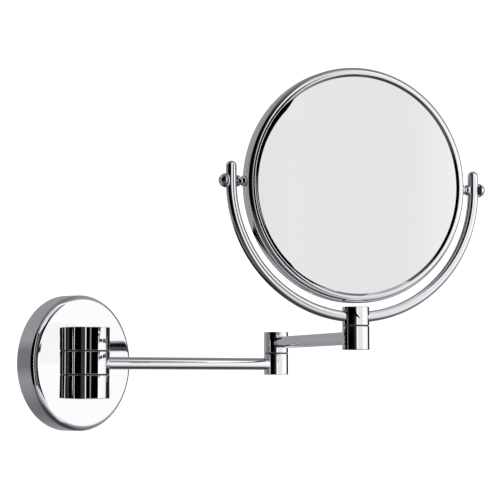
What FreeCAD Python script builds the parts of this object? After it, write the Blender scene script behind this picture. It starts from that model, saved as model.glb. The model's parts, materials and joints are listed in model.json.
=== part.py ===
"""Wall-mounted shaving mirror: a round wall plate, two folding arms, a yoke and a two-sided mirror.

Frame: the origin is the centre of the wall plate's back, on the wall. +Z is up, the wall is the plane Y = 0
and the object stands out of it along -Y. All sizes are millimetres and degrees.
The arms stand at their rest pose, with all four hinges at zero.
"""
import FreeCAD, Part
import os
import Sketcher
from FreeCAD import Placement, Rotation, Vector

SIZES = {
    # Wall plate: a dished cover over a screwed-on bracket
    "CoverRadius": 60.0, "CoverSide": 16.6, "CoverRound": 5.0, "CoverDome": 0.6, "CoverWall": 1.6,
    "BracketRadius": 56.4, "BracketPlate": 2.5, "BracketLip": 9.0, "BracketWall": 1.8,
    "FixingCircle": 84.0, "FixingHole": 2.75, "BracketSlotWidth": 20.0, "BracketSlotHeight": 66.0,
    "GrubRadius": 2.0, "GrubLength": 3.4, "GrubHeight": 6.5, "GrubRecess": 0.2, "ScrewSocket": 1.15,
    "ThreadFit": 0.02,
    # Hub: three barrels on one upright pin, half sunk in the cover's face
    "HubRadius": 21.75, "HubPitch": 20.9, "HubAxis": 22.9, "HubBore": 5.0, "HubPocket": 11.5,
    "HubPocketDepth": 8.0, "HubClear": 0.35, "HubPinHead": 9.0, "HubNut": 9.5, "HubPinTail": 1.4,
    "EarHalfWidth": 31.0, "EarLow": 13.0, "EarHeight": 16.0, "EarBack": 14.5, "EarPlate": 3.5,
    "EarScrewX": 27.0, "EarScrewZ": 21.0, "EarScrewRadius": 2.0, "EarScrewHead": 3.5, "EarScrewRoom": 0.2,
    "BossRadius": 4.0, "PilotDepth": 2.4,
    # Seams between barrels, each with a nylon washer in it
    "SeamGap": 1.0, "WasherPlate": 0.9, "WasherInset": 0.45, "EdgeBreak": 0.35, "RunningFit": 0.05,
    # Arms and knuckles
    "ArmLength": 200.0, "RodRadius": 5.55, "RodWall": 1.3, "RodSocket": 8.0, "KnuckleSocket": 5.0,
    "KnuckleRadius": 11.4, "KnucklePitch": 20.05, "KnuckleBore": 3.0, "KnucklePocket": 7.2,
    "KnucklePocketDepth": 4.1, "KnucklePinHead": 6.0, "KnuckleNut": 6.2, "PinHead": 2.3, "NutPlate": 1.7,
    "CapPlate": 1.1, "SpringPlate": 0.7, "SpringRise": 0.25,
    # Yoke: a socket that turns on the upper arm, with two bent tubes
    "SocketTop": 46.1, "YokeRadius": 110.65, "YokeTube": 4.5, "YokeTubeWall": 1.1, "YokeSweep": 86.6,
    "YokeRise": 12.0, "SocketThread": 11.0, "MirrorHeight": 148.1,
    # Mirror head
    "HeadRadius": 99.0, "BandHalf": 3.2, "BandWall": 2.0, "HeadHalf": 9.4, "BezelRound": 5.5,
    "BezelBevelOut": 93.0, "GlassSight": 91.0, "GlassFace": 7.5, "LipHeight": 7.6, "GlassRadius": 94.0,
    "GlassRoom": 0.1, "GlassPlate": 3.0, "LensPlate": 2.5, "LensCurve": 1000.0, "CoreOuter": 85.5,
    "CoreInner": 74.0, "CoreBack": 3.1,
    # Pivots that carry the head between the yoke's ends
    "PivotRadius": 2.0, "PivotIn": 88.0, "BossIn": 87.0, "PivotBossRadius": 3.1, "PivotGap": 0.15,
    "SpacerRadius": 4.7, "SpacerWaist": 1.2, "PivotWasher": 3.6, "PivotWasherPlate": 0.8,
    "PivotHead": 6.0, "PivotHeadHigh": 5.2, "PivotSocket": 2.6, "PivotSocketDeep": 2.4,
    # Rest pose: directions of the arms from +X, of the mirror's front from -Y, and its tilt
    "LowerArmAngle": -17.7, "UpperArmAngle": -120.8, "HeadTurn": -29.3, "HeadTilt": 2.15,
}

doc = FreeCAD.newDocument("ShavingMirror")
sheet = doc.addObject("Spreadsheet::Sheet", "Sizes")
parts = []


class Size:
    """A length or an angle, together with the sheet expression that gives it."""

    def __init__(self, value, text):
        self.value, self.text = value, text

    def join(self, other, sign, value):
        return Size(value, f"({self.text} {sign} {text_of(other)})")

    def __add__(self, other):
        return self.join(other, "+", self.value + number(other))

    def __sub__(self, other):
        return self.join(other, "-", self.value - number(other))

    def __mul__(self, other):
        return self.join(other, "*", self.value * number(other))

    def __truediv__(self, other):
        return self.join(other, "/", self.value / number(other))

    def __neg__(self):
        return Size(-self.value, f"(-1 * {self.text})")


def number(size):
    return size.value if isinstance(size, Size) else float(size)


def text_of(size):
    return size.text if isinstance(size, Size) else repr(size)


def fill_sheet():
    for row, (alias, value) in enumerate(SIZES.items(), start=1):
        sheet.set(f"A{row}", alias)
        sheet.set(f"B{row}", str(value))
        sheet.setAlias(f"B{row}", alias)
    doc.recompute()


fill_sheet()
S = type("Names", (), {name: Size(value, f"Sizes.{name}") for name, value in SIZES.items()})


# ---------------------------------------------------------------- building blocks

TO_X = Rotation(Vector(0, 1, 0), 90)
TO_MINUS_X = Rotation(Vector(0, 1, 0), -90)
TO_MINUS_Y = Rotation(Vector(1, 0, 0), 90)
TO_Y = Rotation(Vector(1, 0, 0), -90)
AS_IS = Rotation()


def bind(obj, prop, size):
    """Sets a property to a size and ties it to the sheet."""
    if isinstance(size, Size):
        obj.setExpression(prop, size.text)
    elif size:
        obj.setExpression(prop, repr(size))


def primitive(kind, at, turn, **sizes):
    obj = doc.addObject(f"Part::{kind}", kind)
    for prop, size in sizes.items():
        bind(obj, prop, size)
    obj.Placement = Placement(Vector(*[number(v) for v in at]), turn)
    for letter, size in zip("xyz", at):
        bind(obj, f"Placement.Base.{letter}", size)
    return obj


def rod(radius, length, at=(0, 0, 0), turn=AS_IS):
    return primitive("Cylinder", at, turn, Radius=radius, Height=length)


def block(length, width, height, at=(0, 0, 0)):
    return primitive("Box", at, AS_IS, Length=length, Width=width, Height=height)


def ball(radius, at):
    return primitive("Sphere", at, AS_IS, Radius=radius)


def hexagon(corner_radius, length, at=(0, 0, 0), turn=AS_IS):
    return primitive("Prism", at, turn, Circumradius=corner_radius, Height=length)


def fuse(*pieces):
    if len(pieces) == 1:
        return pieces[0]
    joined = doc.addObject("Part::MultiFuse", "Joined")
    joined.Shapes = list(pieces)
    return joined


def cut(base, *tools):
    result = doc.addObject("Part::Cut", "Cut")
    result.Base, result.Tool = base, fuse(*tools)
    return result


def common(one, other):
    result = doc.addObject("Part::Common", "Common")
    result.Base, result.Tool = one, other
    return result


def ring_edges(shape, radius=None, height=None):
    """Numbers of a shape's full-circle edges, at one radius and one height where they are given."""
    found = []
    for index, edge in enumerate(shape.Edges, start=1):
        if edge.Degenerated or not isinstance(edge.Curve, Part.Circle):
            continue
        if radius is not None and abs(edge.Curve.Radius - number(radius)) > 0.01:
            continue
        if height is not None and abs(edge.Curve.Center.z - number(height)) > 0.01:
            continue
        found.append(index)
    return found


def soften(kind, base, size, radius=None, height=None):
    """A Part::Fillet or Part::Chamfer on the ring edges that match."""
    doc.recompute()
    result = doc.addObject(f"Part::{kind}", kind)
    result.Base = base
    result.Edges = [(i, number(size), number(size)) for i in ring_edges(base.Shape, radius, height)]
    return result


def lathe(profile):
    """A body turned about Z. The profile is a list of (radius, height) corners, none of them below zero."""
    body = doc.addObject("PartDesign::Body", "Turned")
    sketch = body.newObject("Sketcher::SketchObject", "Profile")
    plane = next(f for f in body.Origin.OriginFeatures if f.Role == "XZ_Plane")
    sketch.AttachmentSupport, sketch.MapMode = [(plane, "")], "FlatFace"
    corners = [Vector(number(r), number(z), 0) for r, z in profile]
    for here, there in zip(corners, corners[1:] + corners[:1]):
        sketch.addGeometry(Part.LineSegment(here, there), False)
    for i in range(len(profile)):
        sketch.addConstraint(Sketcher.Constraint("Coincident", i, 2, (i + 1) % len(profile), 1))
    for i, (r, z) in enumerate(profile):
        for kind, axis, size in (("DistanceX", -2, r), ("DistanceY", -1, z)):
            if number(size) == 0:
                sketch.addConstraint(Sketcher.Constraint("PointOnObject", i, 1, axis))
            else:
                at = sketch.addConstraint(Sketcher.Constraint(kind, -1, 1, i, 1, number(size)))
                bind(sketch, f"Constraints[{at}]", size)
    turned = body.newObject("PartDesign::Revolution", "Turn")
    turned.Profile = sketch
    turned.ReferenceAxis = (sketch, ["V_Axis"])
    turned.Angle = 360
    doc.recompute()
    return body


def round_ring(body, size, radius, height):
    """A PartDesign fillet on one ring edge of a turned body."""
    tip = body.Tip
    fillet = body.newObject("PartDesign::Fillet", "Round")
    fillet.Base = (tip, [f"Edge{i}" for i in ring_edges(tip.Shape, radius, height)])
    bind(fillet, "Radius", size)
    return body


def group(pieces):
    joined = doc.addObject("Part::Compound", "Group")
    joined.Links = pieces
    return joined


def name(label, frame, obj):
    """Makes an object a sub-part: its label is its file's name, and the frame is its place."""
    obj.Label = label
    obj.Placement = frame
    parts.append(obj)
    return obj


# ---------------------------------------------------------------- frames of the moving bodies at rest

def turned_about_z(x, y, z, degrees):
    return Placement(Vector(x, y, z), Rotation(Vector(0, 0, 1), degrees))


def along_x(length):
    return Placement(Vector(number(length), 0, 0), Rotation())


def up(length):
    return Placement(Vector(0, 0, number(length)), Rotation())


FACING = Placement(Vector(), TO_MINUS_Y)
HUB = turned_about_z(0, -S.HubAxis.value, 0, 0)
LOWER_ARM = turned_about_z(0, -S.HubAxis.value, 0, S.LowerArmAngle.value)
ELBOW_UNDER = LOWER_ARM * along_x(S.ArmLength)
UPPER_ARM = turned_about_z(ELBOW_UNDER.Base.x, ELBOW_UNDER.Base.y, 0, S.UpperArmAngle.value)
STEM_UNDER = UPPER_ARM * along_x(S.ArmLength)
YOKE = turned_about_z(STEM_UNDER.Base.x, STEM_UNDER.Base.y, 0, S.HeadTurn.value)
HEAD = YOKE * Placement(Vector(0, 0, S.MirrorHeight.value), Rotation(Vector(1, 0, 0), S.HeadTilt.value))
HEAD_FACING = HEAD * FACING


# ---------------------------------------------------------------- wall plate

def dish(radius, side, rounding):
    """A disc with a slightly domed face and a rounded rim, standing on Z = 0."""
    rim = radius - rounding
    curve = (rim * rim + S.CoverDome * S.CoverDome) / (S.CoverDome * 2)
    top = side + rounding + S.CoverDome
    disc = common(rod(radius, top), ball(curve, (0, 0, top - curve)))
    doc.recompute()
    edge = max(ring_edges(disc.Shape, radius), key=lambda i: disc.Shape.Edges[i - 1].Curve.Center.z)
    rounded = doc.addObject("Part::Fillet", "RoundedRim")
    rounded.Base, rounded.Edges = disc, [(edge, rounding.value, rounding.value)]
    return rounded


def wall_plate():
    lip_in = S.BracketRadius - S.BracketWall
    cup = lathe([(0, 0), (S.BracketRadius, 0), (S.BracketRadius, S.BracketLip), (lip_in, S.BracketLip),
                 (lip_in, S.BracketPlate), (0, S.BracketPlate)])
    slot = block(S.BracketSlotWidth, S.BracketSlotHeight, S.BracketPlate * 3,
                 (-S.BracketSlotWidth / 2, -S.BracketSlotHeight / 2, -S.BracketPlate))
    holes = []
    for turn in (90, 210, 330):
        spot = Rotation(Vector(0, 0, 1), turn).multVec(Vector(S.FixingCircle.value / 2, 0, 0))
        holes.append(rod(S.FixingHole, S.BracketPlate * 3, (spot.x, spot.y, -S.BracketPlate)))
    name("wall_bracket", FACING, cut(cup, slot, *holes))

    outside = dish(S.CoverRadius, S.CoverSide, S.CoverRound)
    inside = dish(S.CoverRadius - S.CoverWall, S.CoverSide, S.CoverRound - S.CoverWall)
    window_x, window_z = S.HubRadius + S.HubClear, S.HubPitch * 1.5 + S.HubClear
    window = block(window_x * 2, window_z * 2, S.CoverSide * 2, (-window_x, -window_z, S.CoverSide / 2))
    grub_hole = rod(S.GrubRadius, S.CoverWall * 4, (0, -S.CoverRadius - S.CoverWall, S.GrubHeight), TO_Y)
    shell = cut(outside, inside, window, grub_hole)

    boss_low = S.EarBack + S.EarPlate
    boss_top = S.CoverSide + S.CoverRound - S.CoverWall / 2
    spots = [(S.EarScrewX * x, S.EarScrewZ * z, boss_low) for x in (-1, 1) for z in (-1, 1)]
    bosses = [rod(S.BossRadius, boss_top - boss_low, spot) for spot in spots]
    pilots = [rod(S.EarScrewRadius, S.PilotDepth, spot) for spot in spots]
    name("cover_shell", FACING, cut(fuse(shell, *bosses), *pilots))

    grub_at = (0, S.GrubRecess - S.CoverRadius, S.GrubHeight)
    grub = rod(S.GrubRadius - S.ThreadFit, S.GrubLength, grub_at, TO_Y)
    key = hexagon(S.ScrewSocket, S.GrubLength / 2, grub_at, TO_Y)
    name("cover_grub_screw", FACING, cut(grub, key))


# ---------------------------------------------------------------- barrels, pins, washers, nuts and caps

def barrel(radius, low, high, bore, pockets=(), sockets=()):
    """An upright barrel. A pocket is (radius, low, high); a rod's socket is (start, rod height, direction)."""
    stock = soften("Chamfer", rod(radius, high - low, (0, 0, low)), S.EdgeBreak)
    tools = [rod(bore, (high - low) * 2, (0, 0, low - (high - low) / 2))]
    for pocket_radius, pocket_low, pocket_high in pockets:
        tools.append(rod(pocket_radius, pocket_high - pocket_low, (0, 0, pocket_low)))
    for start, rod_height, side in sockets:
        turn = TO_X if side > 0 else TO_MINUS_X
        tools.append(rod(S.RodRadius, radius, (start * side, 0, rod_height), turn))
    return cut(stock, *tools)


def washer(outer, inner, low, high):
    return cut(rod(outer, high - low, (0, 0, low)), rod(inner, (high - low) * 3, (0, 0, low - (high - low))))


def spring_washer(outer, bore):
    """A disc spring: a shallow cone, higher at its bore, standing on Z = 0."""
    inner = bore + S.RunningFit * 2
    return lathe([(inner, S.SpringRise), (outer, 0), (outer, S.SpringPlate - S.SpringRise),
                  (inner, S.SpringPlate)])


def nut(corner_radius, bore, low, high):
    return cut(hexagon(corner_radius, high - low, (0, 0, low)),
               rod(bore, (high - low) * 3, (0, 0, low - (high - low))))


def pin(bore, head_radius, head, length):
    """A headed pin that runs in a bore, head down, standing on Z = 0."""
    radius = bore - S.RunningFit
    tip = S.EdgeBreak * 2
    return lathe([(0, 0), (head_radius, 0), (head_radius, head), (radius, head), (radius, length - tip),
                  (radius - tip, length), (0, length)])


def cap(radius, low, high, top):
    """A push-in cap, its outer edge broken."""
    disc = rod(radius, high - low, (0, 0, low))
    return soften("Chamfer", disc, S.EdgeBreak, height=high if top else low)


def end_barrel(side):
    """The hub's upper (side 1) or lower (side -1) barrel, with ears that screw to the cover's bosses."""
    near, far = S.HubPitch / 2 + S.SeamGap / 2, S.HubPitch * 1.5
    floor = far - S.HubPocketDepth
    low, pocket_low, ear_low = near, floor, S.EarLow
    if side < 0:
        low, pocket_low, ear_low = -far, -far, -S.EarLow - S.EarHeight
    ear_y = S.HubAxis - S.EarBack - S.EarPlate
    stock = soften("Chamfer", rod(S.HubRadius, far - near, (0, 0, low)), S.EdgeBreak)
    ears = block(S.EarHalfWidth * 2, S.EarPlate, S.EarHeight, (-S.EarHalfWidth, ear_y, ear_low))
    bore = rod(S.HubBore, S.HubPitch * 3, (0, 0, low - S.HubPitch))
    pocket = rod(S.HubPocket, S.HubPocketDepth, (0, 0, pocket_low))
    holes = [rod(S.EarScrewRadius + S.EarScrewRoom, S.EarPlate * 3,
                 (S.EarScrewX * x, ear_y + S.EarPlate * 2, S.EarScrewZ * side), TO_MINUS_Y) for x in (-1, 1)]
    return cut(fuse(stock, ears), bore, pocket, *holes)


def ear_screw(x, z):
    head_low = S.EarBack - S.EarScrewRadius
    head = rod(S.EarScrewHead, S.EarScrewRadius, (x, z, head_low))
    shank = rod(S.EarScrewRadius - S.ThreadFit, S.EarPlate + S.PilotDepth - S.EarScrewRoom, (x, z, S.EarBack))
    key = hexagon(S.ScrewSocket, S.EarScrewRadius / 2, (x, z, head_low))
    return cut(fuse(head, shank), key)


def hub():
    name("hub_upper_barrel", HUB, end_barrel(1))
    name("hub_lower_barrel", HUB, end_barrel(-1))
    name("hub_fixing_screws", FACING,
         group([ear_screw(S.EarScrewX * x, S.EarScrewZ * z) for x in (-1, 1) for z in (-1, 1)]))

    seam, end = S.HubPitch / 2, S.HubPitch * 1.5
    for label, low in (("hub_upper_washer", seam - S.WasherPlate / 2),
                       ("hub_lower_washer", -seam - S.WasherPlate / 2)):
        name(label, HUB, washer(S.HubRadius - S.WasherInset, S.HubBore, low, low + S.WasherPlate))

    floor = end - S.HubPocketDepth
    head_low = -floor - S.PinHead
    nut_low = floor + S.SpringPlate + S.RunningFit * 2
    nut_high = nut_low + S.PinHead
    name("hub_pivot_pin", HUB * up(head_low),
         pin(S.HubBore, S.HubPinHead, S.PinHead, nut_high + S.HubPinTail - head_low))
    name("hub_spring_washer", HUB * up(floor + S.RunningFit), spring_washer(S.HubPinHead, S.HubBore))
    name("hub_lock_nut", HUB, nut(S.HubNut, S.HubBore, nut_low, nut_high))
    name("hub_top_cap", HUB, cap(S.HubPocket, end - S.CapPlate, end, True))
    name("hub_bottom_cap", HUB, cap(S.HubPocket, -end, -end + S.CapPlate, False))


def arm_tube(start, end, height):
    outer = rod(S.RodRadius, end - start, (start, 0, height), TO_X)
    inner = rod(S.RodRadius - S.RodWall, (end - start) * 2, (start - (end - start) / 2, 0, height), TO_X)
    return cut(outer, inner)


def lower_arm():
    half_hub = S.HubPitch / 2 - S.SeamGap / 2
    start = S.HubRadius - S.RodSocket
    name("hub_middle_barrel", LOWER_ARM,
         barrel(S.HubRadius, -half_hub, half_hub, S.HubBore, sockets=[(start, 0, 1)]))
    name("lower_arm_tube", LOWER_ARM, arm_tube(start, S.ArmLength - S.KnuckleRadius + S.KnuckleSocket, 0))

    half = S.KnucklePitch / 2
    floor = S.KnucklePocketDepth - half
    washer_low = half - S.WasherPlate / 2
    name("elbow_lower_barrel", ELBOW_UNDER,
         barrel(S.KnuckleRadius, -half, half - S.SeamGap / 2, S.KnuckleBore,
                pockets=[(S.KnucklePocket, -half, floor)],
                sockets=[(S.KnuckleRadius - S.KnuckleSocket, 0, -1)]))
    name("elbow_bottom_cap", ELBOW_UNDER, cap(S.KnucklePocket, -half, -half + S.CapPlate, False))
    name("elbow_washer", ELBOW_UNDER,
         washer(S.KnuckleRadius - S.WasherInset, S.KnuckleBore, washer_low, washer_low + S.WasherPlate))

    head_low = floor - S.PinHead
    top_floor = S.KnucklePitch * 1.5 - S.KnucklePocketDepth
    nut_low = top_floor + S.SpringPlate + S.RunningFit * 2
    nut_high = nut_low + S.NutPlate
    name("elbow_pin", ELBOW_UNDER * up(head_low),
         pin(S.KnuckleBore, S.KnucklePinHead, S.PinHead, nut_high - head_low))
    name("elbow_spring_washer", ELBOW_UNDER * up(top_floor + S.RunningFit),
         spring_washer(S.KnucklePinHead, S.KnuckleBore))
    name("elbow_lock_nut", ELBOW_UNDER, nut(S.KnuckleNut, S.KnuckleBore, nut_low, nut_high))


def upper_arm():
    pitch, half, seam = S.KnucklePitch, S.KnucklePitch / 2, S.SeamGap / 2
    top = pitch * 1.5
    start = S.KnuckleRadius - S.KnuckleSocket
    washer_low = top - S.WasherPlate / 2
    name("elbow_upper_barrel", UPPER_ARM,
         barrel(S.KnuckleRadius, half + seam, top, S.KnuckleBore,
                pockets=[(S.KnucklePocket, top - S.KnucklePocketDepth, top)], sockets=[(start, pitch, 1)]))
    name("elbow_top_cap", UPPER_ARM, cap(S.KnucklePocket, top - S.CapPlate, top, True))
    name("upper_arm_tube", UPPER_ARM, arm_tube(start, S.ArmLength - start, pitch))
    name("stem_barrel", STEM_UNDER,
         barrel(S.KnuckleRadius, half, top - seam, S.KnuckleBore,
                pockets=[(S.KnucklePocket, half, half + S.KnucklePocketDepth)], sockets=[(start, pitch, -1)]))
    name("stem_bottom_cap", STEM_UNDER, cap(S.KnucklePocket, half, half + S.CapPlate, False))
    name("swivel_washer", STEM_UNDER,
         washer(S.KnuckleRadius - S.WasherInset, S.KnuckleBore, washer_low, washer_low + S.WasherPlate))


# ---------------------------------------------------------------- yoke

def bent_tube(radius, turn):
    """A quarter turn of tube, its straight end above the pivot and the domed tip, filled to one radius."""
    bend = primitive("Torus", (0, 0, S.MirrorHeight), TO_Y, Radius1=S.YokeRadius, Radius2=radius,
                     Angle3=S.YokeSweep)
    rise = rod(radius, S.YokeRise, (S.YokeRadius, 0, S.MirrorHeight))
    tip = ball(radius, (S.YokeRadius, 0, S.MirrorHeight + S.YokeRise))
    tube = fuse(bend, rise, tip)
    tube.Placement = Placement(Vector(), Rotation(Vector(0, 0, 1), turn))
    return tube


def yoke_tube(side):
    """The yoke's right (side 1) or left (side -1) tube, with the pivot's hole through it."""
    turn = 0 if side > 0 else 180
    hole = rod(S.PivotRadius + S.RunningFit, S.YokeTube * 4,
               ((S.YokeRadius - S.YokeTube * 2) * side, 0, S.MirrorHeight), TO_X if side > 0 else TO_MINUS_X)
    return cut(bent_tube(S.YokeTube, turn), bent_tube(S.YokeTube - S.YokeTubeWall, turn), hole)


def yoke():
    low = S.KnucklePitch * 1.5 + S.SeamGap / 2
    stock = soften("Chamfer", rod(S.KnuckleRadius, S.SocketTop - low, (0, 0, low)), S.EdgeBreak)
    thread = rod(S.KnuckleBore, S.SocketThread + S.SeamGap, (0, 0, low - S.SeamGap))
    name("yoke_socket", YOKE, cut(stock, thread, bent_tube(S.YokeTube, 0), bent_tube(S.YokeTube, 180)))
    name("yoke_right_tube", YOKE, yoke_tube(1))
    name("yoke_left_tube", YOKE, yoke_tube(-1))

    spring_low = S.KnucklePitch / 2 + S.KnucklePocketDepth - S.SpringPlate - S.RunningFit
    head_low = spring_low - S.RunningFit - S.NutPlate
    name("swivel_pin", YOKE * up(head_low),
         pin(S.KnuckleBore, S.KnucklePinHead, S.NutPlate, low + S.SocketThread - S.SeamGap - head_low))
    name("swivel_spring_washer", YOKE * up(spring_low), spring_washer(S.KnucklePinHead, S.KnuckleBore))


# ---------------------------------------------------------------- mirror head

def bezel():
    """A rounded rim ring standing on Z = 0, whose inner lip holds a glass."""
    crown, seat = S.HeadHalf - S.BandHalf, S.GlassRadius + S.GlassRoom
    lip_low, lip_high = S.GlassFace - S.BandHalf, S.LipHeight - S.BandHalf
    ring = lathe([(seat, 0), (S.HeadRadius, 0), (S.HeadRadius, crown), (S.BezelBevelOut, crown),
                  (S.GlassSight, lip_high), (S.GlassSight, lip_low), (seat, lip_low)])
    return round_ring(ring, S.BezelRound, S.HeadRadius, crown)


def lens():
    """The rear glass: a disc slumped to a shallow dish, its hollow side outward."""
    drop = S.GlassRadius * S.GlassRadius / (S.LensCurve * 2)
    centre = (0, 0, drop + S.GlassRoom - S.GlassFace - S.LensCurve)
    disc = rod(S.GlassRadius, S.GlassFace * 2, (0, 0, -S.GlassFace * 2))
    return cut(common(disc, ball(S.LensCurve + S.LensPlate, centre)), ball(S.LensCurve, centre))


def mirror_head():
    flip = Placement(Vector(), Rotation(Vector(1, 0, 0), 180))
    name("front_bezel", HEAD_FACING * up(S.BandHalf), bezel())
    name("rear_bezel", HEAD_FACING * flip * up(S.BandHalf), bezel())

    band_in = S.HeadRadius - S.BandWall
    name("rim_band", HEAD_FACING,
         cut(rod(S.HeadRadius, S.BandHalf * 2, (0, 0, -S.BandHalf)),
             rod(band_in, S.BandHalf * 4, (0, 0, -S.BandHalf * 2)),
             rod(S.PivotRadius, S.HeadRadius * 4, (-S.HeadRadius * 2, 0, 0), TO_X)))

    glass_low = S.GlassFace - S.GlassPlate
    name("front_glass", HEAD_FACING * up(glass_low), rod(S.GlassRadius, S.GlassPlate))
    name("rear_glass", HEAD_FACING, lens())
    name("core_ring", HEAD_FACING, washer(S.CoreOuter, S.CoreInner, -S.CoreBack, glass_low))

    pivots = [pivot(side, turn) for side, turn in ((1, TO_X), (-1, TO_MINUS_X))]
    for label, pair in zip(("pivot_bosses", "pivot_spacers", "pivot_washers", "pivot_screws"), zip(*pivots)):
        name(label, HEAD, group(list(pair)))


def pivot(side, turn):
    """One side's boss, spacer, washer and screw, on the tilt axis."""
    def bar(radius, start, end):
        return rod(radius, end - start, (start * side, 0, 0), turn)

    band_in = S.HeadRadius - S.BandWall
    tube_in, tube_out = S.YokeRadius - S.YokeTube - S.PivotGap, S.YokeRadius + S.YokeTube + S.PivotGap
    washer_out = tube_out + S.PivotWasherPlate
    head_out = washer_out + S.PivotHeadHigh
    boss = cut(bar(S.PivotBossRadius, S.BossIn, band_in - S.PivotGap),
               bar(S.PivotRadius, S.PivotIn, S.HeadRadius))
    waist = primitive("Torus", ((S.HeadRadius + tube_in) / 2 * side, 0, 0), turn,
                      Radius1=S.SpacerRadius + S.SpacerWaist, Radius2=S.SpacerWaist * 2)
    spacer = cut(bar(S.SpacerRadius, S.HeadRadius, tube_in), bar(S.PivotRadius, band_in, tube_out), waist)
    plate = cut(bar(S.PivotWasher, tube_out, washer_out), bar(S.PivotRadius, tube_in, head_out))
    dome = (S.PivotHead * S.PivotHead + S.PivotHeadHigh * S.PivotHeadHigh) / (S.PivotHeadHigh * 2)
    head = common(bar(S.PivotHead, washer_out, head_out + S.PivotHeadHigh),
                  ball(dome, ((head_out - dome) * side, 0, 0)))
    key = hexagon(S.PivotSocket, S.PivotSocketDeep * 2, ((head_out - S.PivotSocketDeep) * side, 0, 0), turn)
    screw = cut(fuse(head, bar(S.PivotRadius, S.PivotIn, washer_out + S.PivotWasherPlate)), key)
    return boss, spacer, plate, screw


# ---------------------------------------------------------------- build, check and export

wall_plate()
hub()
lower_arm()
upper_arm()
yoke()
mirror_head()
doc.recompute()

for obj in doc.Objects:
    if "Invalid" in obj.State or "Error" in obj.State:
        raise RuntimeError(f"{obj.Label} failed: {obj.State}")

os.makedirs("parts", exist_ok=True)
for part in parts:
    if part.Shape.isNull() or not part.Shape.isValid():
        raise RuntimeError(f"{part.Label} has no valid shape")
    part.Shape.exportStep(f"parts/{part.Label}.step")
    box = part.Shape.BoundBox
    print(f"{part.Label:22s} {len(part.Shape.Solids)} solids  {part.Shape.Volume / 1000:8.2f} cm3  "
          f"z {box.ZMin:7.2f} to {box.ZMax:7.2f}")

print("elbow axis", [round(v, 3) for v in ELBOW_UNDER.Base])
print("stem axis", [round(v, 3) for v in STEM_UNDER.Base])
print("mirror centre", [round(v, 3) for v in HEAD.Base])
print("pivot axis", [round(v, 6) for v in HEAD.Rotation.multVec(Vector(1, 0, 0))])
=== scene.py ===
# %% [markdown]
# # A shaving mirror on a folding arm
#
# The real object is a round wall plate, a hub of three stacked barrels, two tubes with a knuckle between
# them, a U-shaped yoke and a round two-sided mirror. Nearly all of it is chrome plate, so what a viewer
# sees is the room in the metal: smooth surfaces and a well lit room matter more here than colour.

# %% Load the frame
import json
import math
import bmesh
import bpy
from mathutils import Matrix, Vector


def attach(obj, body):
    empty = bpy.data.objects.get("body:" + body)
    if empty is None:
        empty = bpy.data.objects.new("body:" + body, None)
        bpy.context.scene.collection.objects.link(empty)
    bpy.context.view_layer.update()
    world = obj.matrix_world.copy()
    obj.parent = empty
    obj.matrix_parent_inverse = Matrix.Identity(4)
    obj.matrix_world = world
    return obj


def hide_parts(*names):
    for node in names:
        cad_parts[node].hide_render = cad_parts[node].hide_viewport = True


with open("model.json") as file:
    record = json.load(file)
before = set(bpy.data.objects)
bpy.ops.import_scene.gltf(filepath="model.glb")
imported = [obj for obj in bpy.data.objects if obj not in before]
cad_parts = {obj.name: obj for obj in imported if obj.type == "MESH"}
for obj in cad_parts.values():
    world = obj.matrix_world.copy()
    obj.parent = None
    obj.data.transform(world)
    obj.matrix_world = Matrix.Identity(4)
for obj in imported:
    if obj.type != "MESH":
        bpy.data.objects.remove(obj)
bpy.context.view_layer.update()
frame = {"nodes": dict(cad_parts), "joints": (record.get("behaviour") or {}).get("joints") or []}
MM = 0.001
print("CAD nodes:", len(frame["nodes"]))

# %% [markdown]
# ## Places and directions
#
# A jointed object is easiest to build in the frame of each joint. The hinge points give the hub, the elbow
# and the swivel; the line from one to the next gives each arm's direction; and the tilt hinge gives the
# mirror's centre and the line of its two screws. A 4 x 4 matrix holds such a frame: three directions and a
# point.

# %% Frames of the moving bodies
UP = Vector((0, 0, 1))
HEAD_TILT = math.radians(2.15)
hinge = {joint["name"]: joint for joint in frame["joints"]}


def frame_of(x_axis, y_axis, z_axis, point):
    """A matrix that takes local coordinates to the frame of three directions and a point."""
    rotation = Matrix((x_axis, y_axis, z_axis)).transposed().to_4x4()
    return Matrix.Translation(point) @ rotation


def upright(point, x_axis):
    return frame_of(x_axis, UP.cross(x_axis), UP, point)


def hinge_point(name):
    return Vector(hinge[name]["pos_m"])


hub_at, elbow_at, swivel_at = (hinge_point(name) for name in ("base_swing", "elbow_fold", "head_swivel"))
tilt_line = Vector(hinge["mirror_tilt"]["axis"]).normalized()
WALL = frame_of((1, 0, 0), (0, 0, 1), (0, -1, 0), (0, 0, 0))
HUB = upright(hub_at, Vector((1, 0, 0)))
LOWER_ARM = upright(hub_at, (elbow_at - hub_at).normalized())
ELBOW = upright(elbow_at, (elbow_at - hub_at).normalized())
UPPER_ARM = upright(elbow_at, (swivel_at - elbow_at).normalized())
STEM = upright(swivel_at, (swivel_at - elbow_at).normalized())
YOKE = upright(swivel_at, tilt_line)
HEAD = upright(hinge_point("mirror_tilt"), tilt_line) @ Matrix.Rotation(HEAD_TILT, 4, "X")
HEAD_FACING = HEAD @ Matrix.Rotation(math.radians(90), 4, "X")
HEAD_BACK = HEAD_FACING @ Matrix.Rotation(math.radians(180), 4, "X")
print("arm length", round((elbow_at - hub_at).length / MM, 1), "mm")

# %% [markdown]
# ## Camera
#
# The camera comes first. It stands to the left of the plate and a little below it. A long lens, far back,
# keeps the mirror's rim nearly a true ellipse.

# %% Camera
AZIMUTH, ELEVATION, DISTANCE = math.radians(-49.44), math.radians(-4.22), 1.6
FOCAL_MM = 127.76
AIM = Vector((0.1142, -0.1167, 0.1019))

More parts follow.
